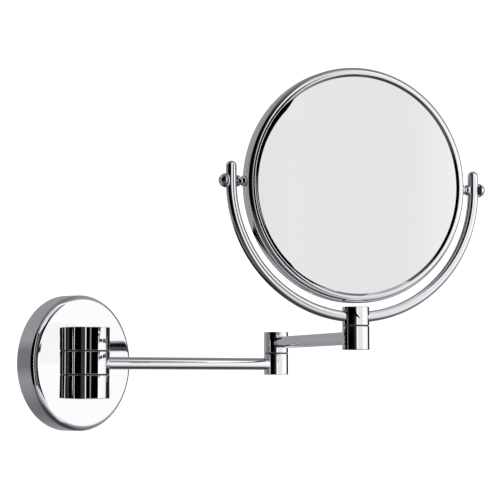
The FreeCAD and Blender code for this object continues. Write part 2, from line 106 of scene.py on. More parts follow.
back = Vector((math.sin(AZIMUTH) * math.cos(ELEVATION), -math.cos(AZIMUTH) * math.cos(ELEVATION),
               math.sin(ELEVATION)))
right = Vector((math.cos(AZIMUTH), math.sin(AZIMUTH), 0))
camera = bpy.data.objects.new("camera", bpy.data.cameras.new("camera"))
camera.data.lens = FOCAL_MM
camera.matrix_world = frame_of(right, back.cross(right), back, AIM + back * DISTANCE)
bpy.context.scene.collection.objects.link(camera)
bpy.context.scene.camera = camera
print("camera at", [round(v, 3) for v in camera.location])

# %% [markdown]
# ## Finishes
#
# Chrome plate is a mirror that is never quite perfect. Polishing leaves a very shallow waviness, a
# centimetre or a few across, and a faint haze. Both come from noise on Object coordinates, one as a bump of
# some thousandths of a millimetre and one in the roughness. The finishes differ in how deep and how wide
# the waves are. On turned pieces the noise is squeezed along Z, so that it leans towards the rings that a
# lathe leaves.

# %% A small helper for node trees, and the metal finish
# Smears are larger than waves. Their noise is read between two levels, and the metal is a little duller in
# them.
SMEARS_PER_WAVE, SMEAR_LOW, SMEAR_HIGH, DULLER = 0.4, 0.35, 0.7, 0.97


def wire(tree, kind, inputs=None, **settings):
    """Adds a node, sets its properties and its inputs. An input may be another node's output."""
    node = tree.nodes.new(kind)
    for key, value in settings.items():
        setattr(node, key, value)
    for key, value in (inputs or {}).items():
        if isinstance(value, bpy.types.NodeSocket):
            tree.links.new(value, node.inputs[key])
        else:
            node.inputs[key].default_value = value
    return node


def metal(name, color, haze, wave_size, wave_depth, stretch=(1, 1, 1)):
    """A polished metal. Haze is the lowest and highest roughness; waves are measured in metres."""
    material = bpy.data.materials.new(name)
    material.use_nodes = True
    tree = material.node_tree
    shader = tree.nodes["Principled BSDF"]
    shader.inputs["Metallic"].default_value = 1
    place = wire(tree, "ShaderNodeTexCoord").outputs["Object"]
    place = wire(tree, "ShaderNodeMapping", {"Vector": place, "Scale": stretch}).outputs["Vector"]
    waves = wire(tree, "ShaderNodeTexNoise", {"Vector": place, "Scale": 1 / wave_size, "Detail": 1.0})
    bump = wire(tree, "ShaderNodeBump",
                {"Height": waves.outputs["Fac"], "Distance": wave_depth, "Strength": 1.0})
    smears = wire(tree, "ShaderNodeTexNoise",
                  {"Vector": place, "Scale": SMEARS_PER_WAVE / wave_size, "Detail": 4.0})
    rough = wire(tree, "ShaderNodeMapRange",
                 {"Value": smears.outputs["Fac"], "From Min": SMEAR_LOW, "From Max": SMEAR_HIGH,
                  "To Min": haze[0], "To Max": haze[1]})
    shade = wire(tree, "ShaderNodeMix", {"Factor": smears.outputs["Fac"], "A": (*color, 1),
                                         "B": (*[c * DULLER for c in color], 1)}, data_type="RGBA")
    tree.links.new(shade.outputs["Result"], shader.inputs["Base Color"])
    tree.links.new(rough.outputs["Result"], shader.inputs["Roughness"])
    tree.links.new(bump.outputs["Normal"], shader.inputs["Normal"])
    return material


CHROME = (0.93, 0.93, 0.955)
chrome_plate = metal("chrome_plate", CHROME, (0.015, 0.05), 0.022, 0.000012)
chrome_turned = metal("chrome_turned", CHROME, (0.015, 0.04), 0.009, 0.000002, (1, 1, 2))
chrome_tube = metal("chrome_tube", CHROME, (0.02, 0.06), 0.012, 0.000003)
chrome_rim = metal("chrome_rim", CHROME, (0.01, 0.03), 0.03, 0.000001)
silvered_glass = metal("silvered_glass", (0.955, 0.96, 0.96), (0.004, 0.012), 0.09, 0.000001)
turned_steel = metal("turned_steel", (0.56, 0.57, 0.58), (0.22, 0.36), 0.003, 0.00001, (1, 1, 6))
zinc_plate = metal("zinc_plate", (0.58, 0.6, 0.62), (0.3, 0.5), 0.008, 0.00002)
print("metals:", len(bpy.data.materials))

# %% [markdown]
# The seams' washers are black nylon and the packing between the glasses is dark moulded plastic. Neither is
# flat: moulded plastic has a fine grain that breaks up its highlight, and slightly lighter and darker
# patches.

# %% Plastics
GRAIN_DEPTH = 0.1


def plastic(name, dark, light, roughness, grain_size):
    """A moulded plastic. The grain's size is in metres, and its depth is a share of its size."""
    material = bpy.data.materials.new(name)
    material.use_nodes = True
    tree = material.node_tree
    shader = tree.nodes["Principled BSDF"]
    shader.inputs["Roughness"].default_value = roughness
    place = wire(tree, "ShaderNodeTexCoord").outputs["Object"]
    grain = wire(tree, "ShaderNodeTexNoise", {"Vector": place, "Scale": 1 / grain_size, "Detail": 3.0})
    shade = wire(tree, "ShaderNodeMix", {"Factor": grain.outputs["Fac"], "A": (*dark, 1), "B": (*light, 1)},
                 data_type="RGBA")
    bump = wire(tree, "ShaderNodeBump",
                {"Height": grain.outputs["Fac"], "Distance": grain_size * GRAIN_DEPTH})
    tree.links.new(shade.outputs["Result"], shader.inputs["Base Color"])
    tree.links.new(bump.outputs["Normal"], shader.inputs["Normal"])
    return material


black_nylon = plastic("black_nylon", (0.006, 0.006, 0.007), (0.02, 0.02, 0.022), 0.5, 0.0006)
core_plastic = plastic("core_plastic", (0.03, 0.03, 0.032), (0.07, 0.07, 0.075), 0.6, 0.001)
print("plastics:", black_nylon.name, core_plastic.name)

# %% [markdown]
# ## Turned pieces
#
# Most pieces are made on a lathe, and so are their meshes: a section is spun about an axis. The section is
# a short list of corners in millimetres, and a corner that shows has its own small radius. Real metal has
# no perfectly sharp edge, and that tiny radius is what catches a line of light along every rim.

# %% Sections with rounded corners, and the lathe
TURN_STEPS = 160
# An arc has ARC_STEPS steps, and more in proportion when its radius is over ARC_SMALL millimetres.
ARC_STEPS, ARC_SMALL = 5, 1.5
ON_AXIS = 1e-7


def rounded(corners):
    """Points along a section, in metres. A corner is (radius, height), in mm, with or without a rounding."""
    points = []
    count = len(corners)
    for i, corner in enumerate(corners):
        here = Vector(corner[:2])
        size = corner[2] if len(corner) > 2 else 0
        if not size:
            points.append(here * MM)
            continue
        to_last = (Vector(corners[i - 1][:2]) - here).normalized()
        to_next = (Vector(corners[(i + 1) % count][:2]) - here).normalized()
        half = to_last.angle(to_next) / 2
        reach = size / math.tan(half)
        centre = here + (to_last + to_next).normalized() * size / math.sin(half)
        start, end = here + to_last * reach - centre, here + to_next * reach - centre
        sweep = start.angle_signed(end)
        steps = max(ARC_STEPS, round(ARC_STEPS * size / ARC_SMALL))
        for k in range(steps + 1):
            points.append((centre + Matrix.Rotation(-sweep * k / steps, 2) @ start) * MM)
    return points


def spin(points, steps=TURN_STEPS):
    """Vertices and faces of a section spun about Z. Points on the axis become one pole each."""
    verts, rings = [], []
    for r, z in points:
        if r < ON_AXIS:
            rings.append([len(verts)] * steps)
            verts.append((0, 0, z))
            continue
        rings.append(range(len(verts), len(verts) + steps))
        for k in range(steps):
            a = math.tau * k / steps
            verts.append((r * math.cos(a), r * math.sin(a), z))
    faces = []
    for low, high in zip(rings, rings[1:] + rings[:1]):
        for k in range(steps):
            corners = (low[k], low[(k + 1) % steps], high[(k + 1) % steps], high[k])
            face = tuple(dict.fromkeys(corners))
            if len(face) > 2:
                faces.append(face)
    return verts, faces


print("a rounded square corner has", len(rounded([(0, 0), (1, 0, 0.2), (1, 1)])), "points")

# %% [markdown]
# Every piece ends the same way: its mesh is moved to its place, its faces are turned outwards, edges over
# 32 degrees are kept sharp, it is told which body it rides on and which finish it has, and the CAD nodes it
# stands for are hidden.

# %% From a mesh to a piece of the object
SHARP = math.radians(32)
WELD = 1e-7


def join(*shapes):
    """Several (vertices, faces) as one."""
    verts, faces = [], []
    for more_verts, more_faces in shapes:
        first = len(verts)
        verts += [tuple(v) for v in more_verts]
        faces += [tuple(i + first for i in face) for face in more_faces]
    return verts, faces


def finish_mesh(mesh, matrix):
    """Moves a mesh to its place, with its faces outwards and its smooth shading split at sharp edges."""
    mesh.transform(matrix)
    work = bmesh.new()
    work.from_mesh(mesh)
    bmesh.ops.remove_doubles(work, verts=work.verts, dist=WELD)
    # A loft that closes along its own axis is left with a bare edge there once its points are welded.
    bare = [edge for edge in work.edges if not edge.link_faces]
    bmesh.ops.delete(work, geom=bare, context="EDGES")
    bmesh.ops.recalc_face_normals(work, faces=work.faces)
    work.to_mesh(mesh)
    work.free()
    mesh.shade_smooth()
    mesh.set_sharp_from_angle(angle=SHARP)
    mesh.update()


def piece(name, shape, matrix, material, body, nodes):
    """A piece from its vertices and faces."""
    mesh = bpy.data.meshes.new(name)
    mesh.from_pydata(shape[0], [], shape[1])
    finish_mesh(mesh, matrix)
    adopt(name, mesh, material, body, nodes)


def adopt(name, mesh, material, body, nodes):
    """Makes an object of a finished mesh and hides the CAD nodes it stands for."""
    mesh.materials.clear()
    mesh.materials.append(material)
    obj = bpy.data.objects.new(name, mesh)
    bpy.context.scene.collection.objects.link(obj)
    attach(obj, body)
    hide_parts(*nodes)
    print(f"{name}: {len(mesh.polygons)} faces")


print("edges stay sharp from", round(math.degrees(SHARP)), "degrees")

# %% [markdown]
# ## Wall plate
#
# The cover is a pressed dish with a faintly domed face, a round of five millimetres at its shoulder and a
# straight side. A window in its face lets the hub stand half inside it. A lathe can't leave that window,
# and cutting it afterwards would ruin the mirror-smooth dome. So the face is laid out as loops that start
# on the window's edge and turn gradually into the round rim, and more loops run over the shoulder, down the
# side and back inside.

# %% Cover shell
COVER_RADIUS, COVER_SIDE, SHOULDER, DOME, COVER_WALL = 60.0, 16.6, 5.0, 0.6, 1.6
WINDOW_X, WINDOW_Z = 22.1, 31.7
SECTOR_STEPS = 32
FACE_LOOPS, SHOULDER_LOOPS, INSIDE_LOOPS = 18, 12, 4
EDGE = 0.25
INSIDE_BEND = 0.7
NOT_ZERO = 1e-9


def loop_angles():
    """Angles once round, evenly spaced between the window's corners and the axes."""
    corner = math.atan2(WINDOW_Z, WINDOW_X)
    quarter = math.pi / 2
    stops = []
    for k in range(4):
        inner = corner if k % 2 == 0 else quarter - corner
        stops += [k * quarter, k * quarter + inner]
    stops.append(math.tau)
    angles = []
    for start, end in zip(stops, stops[1:]):
        angles += [start + (end - start) * i / SECTOR_STEPS for i in range(SECTOR_STEPS)]
    return angles


def window_reach(angle, grow=0.0):
    """How far the window, or the window grown all round, reaches at an angle."""
    across, along = abs(math.cos(angle)), abs(math.sin(angle))
    return min((WINDOW_X + grow) / max(across, NOT_ZERO), (WINDOW_Z + grow) / max(along, NOT_ZERO))


def loft(loops, angles):
    """Skins a ring of loops. Each loop gives a radius and a height, in millimetres, for an angle."""
    verts = []
    for loop in loops:
        for a in angles:
            r, z = loop(a)
            verts.append((r * math.cos(a) * MM, r * math.sin(a) * MM, z * MM))
    count = len(angles)
    faces = []
    for j in range(len(loops)):
        here, there = j * count, (j + 1) % len(loops) * count
        for k in range(count):
            after = (k + 1) % count
            faces.append((here + k, here + after, there + after, there + k))
    return verts, faces


def dome_height(r, rim, top):
    """The height of a shallow ball cap that falls by DOME from its middle to the rim."""
    curve = (rim * rim + DOME * DOME) / (2 * DOME)
    return top - curve + math.sqrt(curve * curve - r * r)


def cover_loops():
    """The shell's loops, from the window out and back in. Each gives a radius and a height for an angle."""
    rim, top = COVER_RADIUS - SHOULDER, COVER_SIDE + SHOULDER + DOME
    loops = [lambda a: (window_reach(a), dome_height(window_reach(a), rim, top) - EDGE)]
    for step in range(FACE_LOOPS + 1):
        def face(a, share=step / FACE_LOOPS):
            start = window_reach(a, EDGE)
            r = start + (rim - start) * share
            return r, dome_height(r, rim, top)
        loops.append(face)
    for step in range(1, SHOULDER_LOOPS + 1):
        turn = math.pi / 2 * step / SHOULDER_LOOPS
        loops.append(lambda a, t=turn: (rim + SHOULDER * math.sin(t), COVER_SIDE + SHOULDER * math.cos(t)))
    bend = (SHOULDER - COVER_WALL) * INSIDE_BEND
    for r, z in ((COVER_RADIUS, COVER_SIDE / 2), (COVER_RADIUS, EDGE), (COVER_RADIUS - EDGE, 0),
                 (COVER_RADIUS - COVER_WALL, 0), (COVER_RADIUS - COVER_WALL, COVER_SIDE),
                 (rim + bend, COVER_SIDE + bend)):
        loops.append(lambda a, point=(r, z): point)
    for step in range(INSIDE_LOOPS, -1, -1):
        def inside(a, share=step / INSIDE_LOOPS):
            start = window_reach(a)
            r = start + (rim - start) * share
            return r, dome_height(r, rim, top - COVER_WALL)
        loops.append(inside)
    return loops


piece("polished_cover", loft(cover_loops(), loop_angles()), WALL, chrome_plate, "wall_base", ["cover_shell"])

# %% [markdown]
# ## Hub
#
# Three barrels stand on one upright pin. The outer two have ears behind the cover; the middle one carries
# the lower arm. A millimetre is left at each seam for a black washer, a little smaller than the barrels,
# and that is the dark line between them. A flat disc closes the pin's pocket at each end.

# %% Hub barrels and caps
HUB_RADIUS, HUB_PITCH, HUB_BORE, HUB_POCKET, POCKET_DEPTH = 21.75, 20.9, 5.0, 11.5, 8.0
SEAM, BREAK, CAP_PLATE = 1.0, 0.4, 1.1
EAR_X, EAR_LOW, EAR_HIGH, EAR_NEAR, EAR_FAR = 31.0, 13.0, 29.0, 4.9, 8.4


def barrel(radius, low, high, bore, pocket=None, pocket_depth=0.0, pocket_on_top=True):
    """A barrel's section, with a pocket for a pin head or a nut in one end."""
    if pocket is None:
        return [(bore, low, BREAK), (radius, low, BREAK), (radius, high, BREAK), (bore, high, BREAK)]
    fine = BREAK / 3
    if pocket_on_top:
        floor = high - pocket_depth
        return [(bore, low), (radius, low, BREAK), (radius, high, BREAK), (pocket, high, fine),
                (pocket, floor), (bore, floor)]
    floor = low + pocket_depth
    return [(bore, floor), (pocket, floor), (pocket, low, fine), (radius, low, BREAK), (radius, high, BREAK),
            (bore, high)]


def box(low, high):
    """A block between two corners, in millimetres."""
    verts = [(x * MM, y * MM, z * MM) for x in (low[0], high[0]) for y in (low[1], high[1])
             for z in (low[2], high[2])]
    faces = [(0, 1, 3, 2), (4, 6, 7, 5), (0, 4, 5, 1), (2, 3, 7, 6), (0, 2, 6, 4), (1, 5, 7, 3)]
    return verts, faces


def cap(radius, low, high, top_side):
    """A push-in disc whose seen edge is broken, so that its outline shows."""
    seen, hidden = (BREAK, 0) if top_side else (0, BREAK)
    return spin(rounded([(0, low), (radius, low, hidden), (radius, high, seen), (0, high)]))


near, far = HUB_PITCH / 2 + SEAM / 2, HUB_PITCH * 1.5
upper = spin(rounded(barrel(HUB_RADIUS, near, far, HUB_BORE, HUB_POCKET, POCKET_DEPTH, True)))
lower = spin(rounded(barrel(HUB_RADIUS, -far, -near, HUB_BORE, HUB_POCKET, POCKET_DEPTH, False)))
middle = spin(rounded(barrel(HUB_RADIUS, -near + SEAM, near - SEAM, HUB_BORE)))
ears = [box((side * EAR_X, EAR_NEAR, low), (side * HUB_POCKET, EAR_FAR, high))
        for side in (-1, 1) for low, high in ((EAR_LOW, EAR_HIGH), (-EAR_HIGH, -EAR_LOW))]
upper_ears, lower_ears = [ears[0], ears[2]], [ears[1], ears[3]]
piece("upper_barrel", join(upper, *upper_ears), HUB, chrome_turned, "wall_base", ["hub_upper_barrel"])
piece("lower_barrel", join(lower, *lower_ears), HUB, chrome_turned, "wall_base", ["hub_lower_barrel"])
piece("middle_barrel", middle, LOWER_ARM, chrome_turned, "lower_arm", ["hub_middle_barrel"])
piece("top_cap", cap(HUB_POCKET, far - CAP_PLATE, far, True), HUB, chrome_turned, "wall_base",
      ["hub_top_cap"])
piece("bottom_cap", cap(HUB_POCKET, -far, -far + CAP_PLATE, False), HUB, chrome_turned, "wall_base",
      ["hub_bottom_cap"])

# %% [markdown]
# ## Arms, elbow and stem
#
# The two arms are lengths of drawn tube, brazed into small barrels. The knuckles at the elbow are the hub's
# barrels again at half the size, so the same section function makes them. The upper arm runs one knuckle
# higher than the lower one, which is what lets it fold over it.

# %% Tubes and knuckles
ARM, ROD, ROD_WALL, KNUCKLE, PITCH, BORE, POCKET, DEPTH = 200.0, 5.55, 1.3, 11.4, 20.05, 3.0, 7.2, 4.1
ROD_IN_HUB, ROD_IN_KNUCKLE = 13.75, 6.4
ALONG_X = Matrix.Rotation(math.radians(90), 4, "Y")


def straight_tube(start, end, height):
    """A tube along X from start to end, at a height above the lower arm."""
    section = [(ROD - ROD_WALL, start), (ROD, start), (ROD, end), (ROD - ROD_WALL, end)]
    verts, faces = spin(rounded(section), TURN_STEPS // 2)
    lift = Matrix.Translation((0, 0, height * MM)) @ ALONG_X
    return [lift @ Vector(v) for v in verts], faces


half, top = PITCH / 2, PITCH * 1.5
piece("lower_tube", straight_tube(ROD_IN_HUB, ARM - ROD_IN_KNUCKLE, 0), LOWER_ARM, chrome_tube, "lower_arm",
      ["lower_arm_tube"])
piece("upper_tube", straight_tube(ROD_IN_KNUCKLE, ARM - ROD_IN_KNUCKLE, PITCH), UPPER_ARM, chrome_tube,
      "upper_arm", ["upper_arm_tube"])

elbow_low = spin(rounded(barrel(KNUCKLE, -half, half - SEAM / 2, BORE, POCKET, DEPTH, False)))
elbow_high = spin(rounded(barrel(KNUCKLE, half + SEAM / 2, top, BORE, POCKET, DEPTH, True)))
stem = spin(rounded(barrel(KNUCKLE, half, top - SEAM / 2, BORE, POCKET, DEPTH, False)))
piece("elbow_low", elbow_low, ELBOW, chrome_turned, "lower_arm", ["elbow_lower_barrel"])
piece("elbow_high", elbow_high, UPPER_ARM, chrome_turned, "upper_arm", ["elbow_upper_barrel"])
piece("stem_knuckle", stem, STEM, chrome_turned, "upper_arm", ["stem_barrel"])
piece("elbow_cap_low", cap(POCKET, -half, -half + CAP_PLATE, False), ELBOW, chrome_turned, "lower_arm",
      ["elbow_bottom_cap"])
piece("elbow_cap_high", cap(POCKET, top - CAP_PLATE, top, True), UPPER_ARM, chrome_turned, "upper_arm",
      ["elbow_top_cap"])
piece("stem_cap", cap(POCKET, half, half + CAP_PLATE, False), STEM, chrome_turned, "upper_arm",
      ["stem_bottom_cap"])

# %% [markdown]
# ## Yoke
#
# Each side of the yoke is one tube, bent to a quarter circle, with a short straight end above the screw and
# a domed tip. A tube that follows a line is what Geometry Nodes does well: the tree takes the line, gives
# every point a radius, and sweeps a circle along it. Near the tip the radius follows a half circle down to
# nothing, and that closes the dome.

# %% Geometry Nodes: a domed tube along a line
TIP_WELD = 1e-6


def new_tree(name, inputs):
    """An empty geometry tree with a Geometry input and output and the named inputs."""
    tree = bpy.data.node_groups.new(name, "GeometryNodeTree")
    tree.interface.new_socket("Geometry", in_out="INPUT", socket_type="NodeSocketGeometry")
    for label, kind in inputs:
        tree.interface.new_socket(label, in_out="INPUT", socket_type=f"NodeSocket{kind}")
    tree.interface.new_socket("Geometry", in_out="OUTPUT", socket_type="NodeSocketGeometry")
    return tree, tree.nodes.new("NodeGroupInput").outputs


def end_tree(tree, geometry, material):
    """Makes instances real, sets the material and wires the result to the tree's output."""
    whole = wire(tree, "GeometryNodeRealizeInstances", {"Geometry": geometry}).outputs["Geometry"]
    colored = wire(tree, "GeometryNodeSetMaterial", {"Geometry": whole, "Material": material})
    wire(tree, "NodeGroupOutput", {"Geometry": colored.outputs["Geometry"]})


def math_node(tree, operation, first, second=0.0):
    return wire(tree, "ShaderNodeMath", {0: first, 1: second}, operation=operation).outputs["Value"]


def domed_tube_tree():
    """Takes a line and gives a tube round it whose far end is closed by a half ball."""
    tree, given = new_tree("domed_tube", [("Radius", "Float"), ("Sides", "Int"), ("Material", "Material")])
    length = wire(tree, "GeometryNodeSplineLength").outputs["Length"]
    here = wire(tree, "GeometryNodeSplineParameter").outputs["Length"]
    left = math_node(tree, "DIVIDE", math_node(tree, "SUBTRACT", length, here), given["Radius"])
    into_dome = math_node(tree, "SUBTRACT", 1.0, math_node(tree, "MINIMUM", left, 1.0))
    squared = math_node(tree, "MULTIPLY", into_dome, into_dome)
    share = math_node(tree, "SQRT", math_node(tree, "SUBTRACT", 1.0, squared))
    scaled = wire(tree, "GeometryNodeSetCurveRadius", {"Curve": given["Geometry"], "Radius": share})
    circle = wire(tree, "GeometryNodeCurvePrimitiveCircle",
                  {"Resolution": given["Sides"], "Radius": given["Radius"]})
    tube = wire(tree, "GeometryNodeCurveToMesh",
                {"Curve": scaled.outputs["Curve"], "Profile Curve": circle.outputs["Curve"],
                 "Fill Caps": True})
    # Where the sweep has a Scale input, the radius is wired to it; elsewhere the sweep reads it by itself.
    if "Scale" in tube.inputs:
        radius = wire(tree, "GeometryNodeInputRadius").outputs["Radius"]
        tree.links.new(radius, tube.inputs["Scale"])
    closed = wire(tree, "GeometryNodeMergeByDistance",
                  {"Geometry": tube.outputs["Mesh"], "Distance": TIP_WELD})
    end_tree(tree, closed.outputs["Geometry"], given["Material"])
    return tree


def run_tree(source, tree, **values):
    """Runs a tree on an object, returns the result as a plain mesh and removes the source."""
    bpy.context.scene.collection.objects.link(source)
    modifier = source.modifiers.new("shape", "NODES")
    modifier.node_group = tree
    sockets = {s.name: s.identifier for s in tree.interface.items_tree if s.in_out == "INPUT"}
    for label, value in values.items():
        modifier[sockets[label]] = value
    graph = bpy.context.evaluated_depsgraph_get()
    mesh = bpy.data.meshes.new_from_object(source.evaluated_get(graph), depsgraph=graph)
    source.modifiers.remove(modifier)
    bpy.data.objects.remove(source)
    return mesh


domed_tube = domed_tube_tree()
print("tree inputs:", [s.name for s in domed_tube.interface.items_tree if s.in_out == "INPUT"])

# %% [markdown]
# Both tubes follow one line, worked out from the yoke's radius and height, and the left tube is the right
# one turned half way round. Their low ends stand in the socket, a short barrel that is turned like the
# knuckles.

# %% The yoke's line, its tubes and its socket
YOKE_RADIUS, YOKE_TUBE, YOKE_SWEEP, YOKE_RISE = 110.65, 4.5, 86.6, 12.0
MIRROR_HEIGHT, SOCKET_TOP = 148.1, 46.1
BEND_STEPS, DOME_STEPS, TUBE_SIDES = 64, 12, 48


def yoke_line():
    """The right tube's line in the yoke's frame: the quarter circle, the straight end and the dome."""
    points = []
    for k in range(BEND_STEPS + 1):
        angle = math.radians(YOKE_SWEEP) * (1 - k / BEND_STEPS)
        points.append((YOKE_RADIUS * math.cos(angle), 0, MIRROR_HEIGHT - YOKE_RADIUS * math.sin(angle)))
    for k in range(DOME_STEPS + 1):
        turn = math.pi / 2 * k / DOME_STEPS
        points.append((YOKE_RADIUS, 0, MIRROR_HEIGHT + YOKE_RISE + YOKE_TUBE * math.sin(turn)))
    return points


def line_object(points):
    """A curve object through points given in millimetres."""
    curve = bpy.data.curves.new("line", "CURVE")
    curve.dimensions = "3D"
    spline = curve.splines.new("POLY")
    spline.points.add(len(points) - 1)
    for target, point in zip(spline.points, points):
        target.co = (*[v * MM for v in point], 1)
    return bpy.data.objects.new("line", curve)


for label, turn, node in (("right_tube", 0, "yoke_right_tube"), ("left_tube", 180, "yoke_left_tube")):
    tube = run_tree(line_object(yoke_line()), domed_tube, Radius=YOKE_TUBE * MM, Sides=TUBE_SIDES,
                    Material=chrome_tube)
    finish_mesh(tube, YOKE @ Matrix.Rotation(math.radians(turn), 4, "Z"))
    adopt(label, tube, chrome_tube, "yoke", [node])

low = top + SEAM / 2
socket = spin(rounded([(0, low), (KNUCKLE, low, BREAK), (KNUCKLE, SOCKET_TOP, BREAK * 2), (0, SOCKET_TOP)]))
piece("yoke_knuckle", socket, YOKE, chrome_turned, "yoke", ["yoke_socket"])

# %% [markdown]
# ## Mirror head
#
# The head is a sandwich: a narrow band, and on each side of it a spun rim whose lip holds a glass. The
# rim's shoulder is a quarter round of five and a half millimetres. Then come a narrow flat and a short
# bevel down to the glass. The bevel leans the other way and so reflects another part of the room, and that
# draws a fine dark line round the mirror.

# %% Rims, band and glasses
HEAD_RADIUS, BAND, BAND_WALL, HEAD_HALF, ROUND, BEVEL_OUT, SIGHT = 99.0, 3.2, 2.0, 9.4, 5.5, 93.0, 91.0
LIP, GLASS_FACE, GLASS, GLASS_PLATE, SEAT_ROOM = 7.6, 7.5, 94.0, 3.0, 0.1
LENS_CURVE, LENS_PLATE, LENS_STEPS = 1000.0, 2.5, 24
BAND_BREAK, BEVEL_BREAK, GLASS_BREAK = 0.12, 0.15, 0.3
HEAD_STEPS = 320


def lens_section():
    """The hollow glass on the back: two arcs about one centre, in the facing frame."""
    centre = GLASS * GLASS / (2 * LENS_CURVE) + SEAT_ROOM - GLASS_FACE - LENS_CURVE
    reach = [GLASS * k / LENS_STEPS for k in range(LENS_STEPS + 1)]
    outer = [(r, centre + math.sqrt(LENS_CURVE ** 2 - r * r)) for r in reach]
    inner = [(r, centre + math.sqrt((LENS_CURVE + LENS_PLATE) ** 2 - r * r)) for r in reversed(reach)]
    return outer + inner


seat = GLASS + SEAT_ROOM
rim = spin(rounded([(seat, BAND), (HEAD_RADIUS, BAND, BAND_BREAK), (HEAD_RADIUS, HEAD_HALF, ROUND),
                    (BEVEL_OUT, HEAD_HALF, BEVEL_BREAK), (SIGHT, LIP), (SIGHT, GLASS_FACE),
                    (seat, GLASS_FACE)]), HEAD_STEPS)
band_in = HEAD_RADIUS - BAND_WALL
band = spin(rounded([(band_in, -BAND), (HEAD_RADIUS, -BAND, BAND_BREAK), (HEAD_RADIUS, BAND, BAND_BREAK),
                     (band_in, BAND)]), HEAD_STEPS)
flat_glass = spin(rounded([(0, GLASS_FACE - GLASS_PLATE), (GLASS, GLASS_FACE - GLASS_PLATE),
                           (GLASS, GLASS_FACE, GLASS_BREAK), (0, GLASS_FACE)]), HEAD_STEPS)
hollow_glass = spin(rounded(lens_section()), HEAD_STEPS)
piece("front_rim", rim, HEAD_FACING, chrome_rim, "mirror_head", ["front_bezel"])
piece("rear_rim", rim, HEAD_BACK, chrome_rim, "mirror_head", ["rear_bezel"])
piece("middle_band", band, HEAD_FACING, chrome_rim, "mirror_head", ["rim_band"])
piece("plain_glass", flat_glass, HEAD_FACING, silvered_glass, "mirror_head", ["front_glass"])
piece("magnifying_glass", hollow_glass, HEAD_FACING, silvered_glass, "mirror_head", ["rear_glass"])

# %% [markdown]
# ## Tilt screws
#
# The head hangs on two screws, and each side has the same four pieces: screw, washer, waisted spacer and a
# boss inside the band. One of each is turned, and a small tree repeats it round the head's upright axis.
# With a count of two, the second copy stands exactly opposite.

# %% Geometry Nodes: copies round an axis
def round_copies_tree():
    """Takes a shape and gives copies of it, evenly spaced in a turn about Z."""
    tree, given = new_tree("round_copies", [("Count", "Int"), ("Material", "Material")])
    points = wire(tree, "GeometryNodePoints", {"Count": given["Count"]}).outputs["Points"]
    index = wire(tree, "GeometryNodeInputIndex").outputs["Index"]
    step = math_node(tree, "DIVIDE", math.tau, given["Count"])
    angle = math_node(tree, "MULTIPLY", index, step)
    turn = wire(tree, "ShaderNodeCombineXYZ", {"Z": angle}).outputs["Vector"]
    copies = wire(tree, "GeometryNodeInstanceOnPoints",
                  {"Points": points, "Instance": given["Geometry"], "Rotation": turn})
    end_tree(tree, copies.outputs["Instances"], given["Material"])
    return tree


round_copies = round_copies_tree()


def pair(name, shape, material, node):
    """Two copies of a piece that was turned along the tilt line's right half."""
    mesh = bpy.data.meshes.new(name)
    mesh.from_pydata(shape[0], [], shape[1])
    mesh.transform(ALONG_X)
    both = run_tree(bpy.data.objects.new(name, mesh), round_copies, Count=2, Material=material)
    finish_mesh(both, HEAD)
    adopt(name, both, material, "mirror_head", [node])


print("copies tree:", len(round_copies.nodes), "nodes")

# %% [markdown]
# A screw's round head could be spun, but its key socket has six sides. So it is skinned over loops, as the
# cover is: the first loops follow the six sides, and the later ones grow round over the dome. The spacer
# and the washer are spun from their sections.

# %% Screws, washers and spacers
SCREW, PIVOT_GAP, SPACER, WAIST, WASHER, WASHER_PLATE = 2.0, 0.15, 4.7, 1.2, 3.6, 0.8
SCREW_HEAD, SCREW_HIGH, KEY, KEY_DEEP, SCREW_IN = 6.0, 5.2, 2.6, 2.4, 88.0
tube_in, tube_out = YOKE_RADIUS - YOKE_TUBE - PIVOT_GAP, YOKE_RADIUS + YOKE_TUBE + PIVOT_GAP
head_low = tube_out + WASHER_PLATE
head_high = head_low + SCREW_HIGH
SPOOL_END, SPOOL_BREAK, WASHER_BREAK = 1.6, 0.3, 0.15
# The broken edges at the key socket and under the head: across the screw, then along it.
KEY_ACROSS, KEY_ALONG, HEAD_ACROSS, HEAD_ALONG = 0.15, 0.1, 0.1, 0.2
KEY_SIDES = 6
CURVE_STEPS, SCREW_STEPS, WASHER_STEPS = 14, 96, 64


def spacer_section():
    """A spool: its waist is a shallow half round between two flat ends."""
    length = tube_in - HEAD_RADIUS - 2 * SPOOL_END
    waist = []
    for k in range(CURVE_STEPS + 1):
        share = k / CURVE_STEPS
        waist.append((SPACER - WAIST * math.sin(math.pi * share), HEAD_RADIUS + SPOOL_END + length * share))
    return [(SCREW, HEAD_RADIUS), (SPACER, HEAD_RADIUS, SPOOL_BREAK), *waist,
            (SPACER, tube_in, SPOOL_BREAK), (SCREW, tube_in)]


def key_reach(angle):
    """How far the six-sided key socket reaches at an angle."""
    sector = math.tau / KEY_SIDES
    return KEY * math.cos(sector / 2) / math.cos((angle % sector) - sector / 2)


def screw_loops():
    """The screw from the socket's floor, over the dome, down to the shank's end and back up its axis."""
    curve = (SCREW_HEAD ** 2 + SCREW_HIGH ** 2) / (2 * SCREW_HIGH)

    def dome(r):
        return head_high - curve + math.sqrt(curve ** 2 - r * r)

    floor_at = head_high - KEY_DEEP
    loops = [lambda a: (0, floor_at), lambda a: (key_reach(a), floor_at),
             lambda a: (key_reach(a), dome(KEY) - KEY_ALONG)]
    for k in range(CURVE_STEPS + 1):
        def over(a, share=k / CURVE_STEPS):
            start = key_reach(a) + KEY_ACROSS
            r = start + (SCREW_HEAD - KEY_ACROSS - start) * share
            return r, dome(r)
        loops.append(over)
    for r, z in ((SCREW_HEAD, head_low + HEAD_ALONG), (SCREW_HEAD - HEAD_ACROSS, head_low),
                 (SCREW, head_low), (SCREW, SCREW_IN), (0, SCREW_IN)):
        loops.append(lambda a, point=(r, z): point)
    return loops


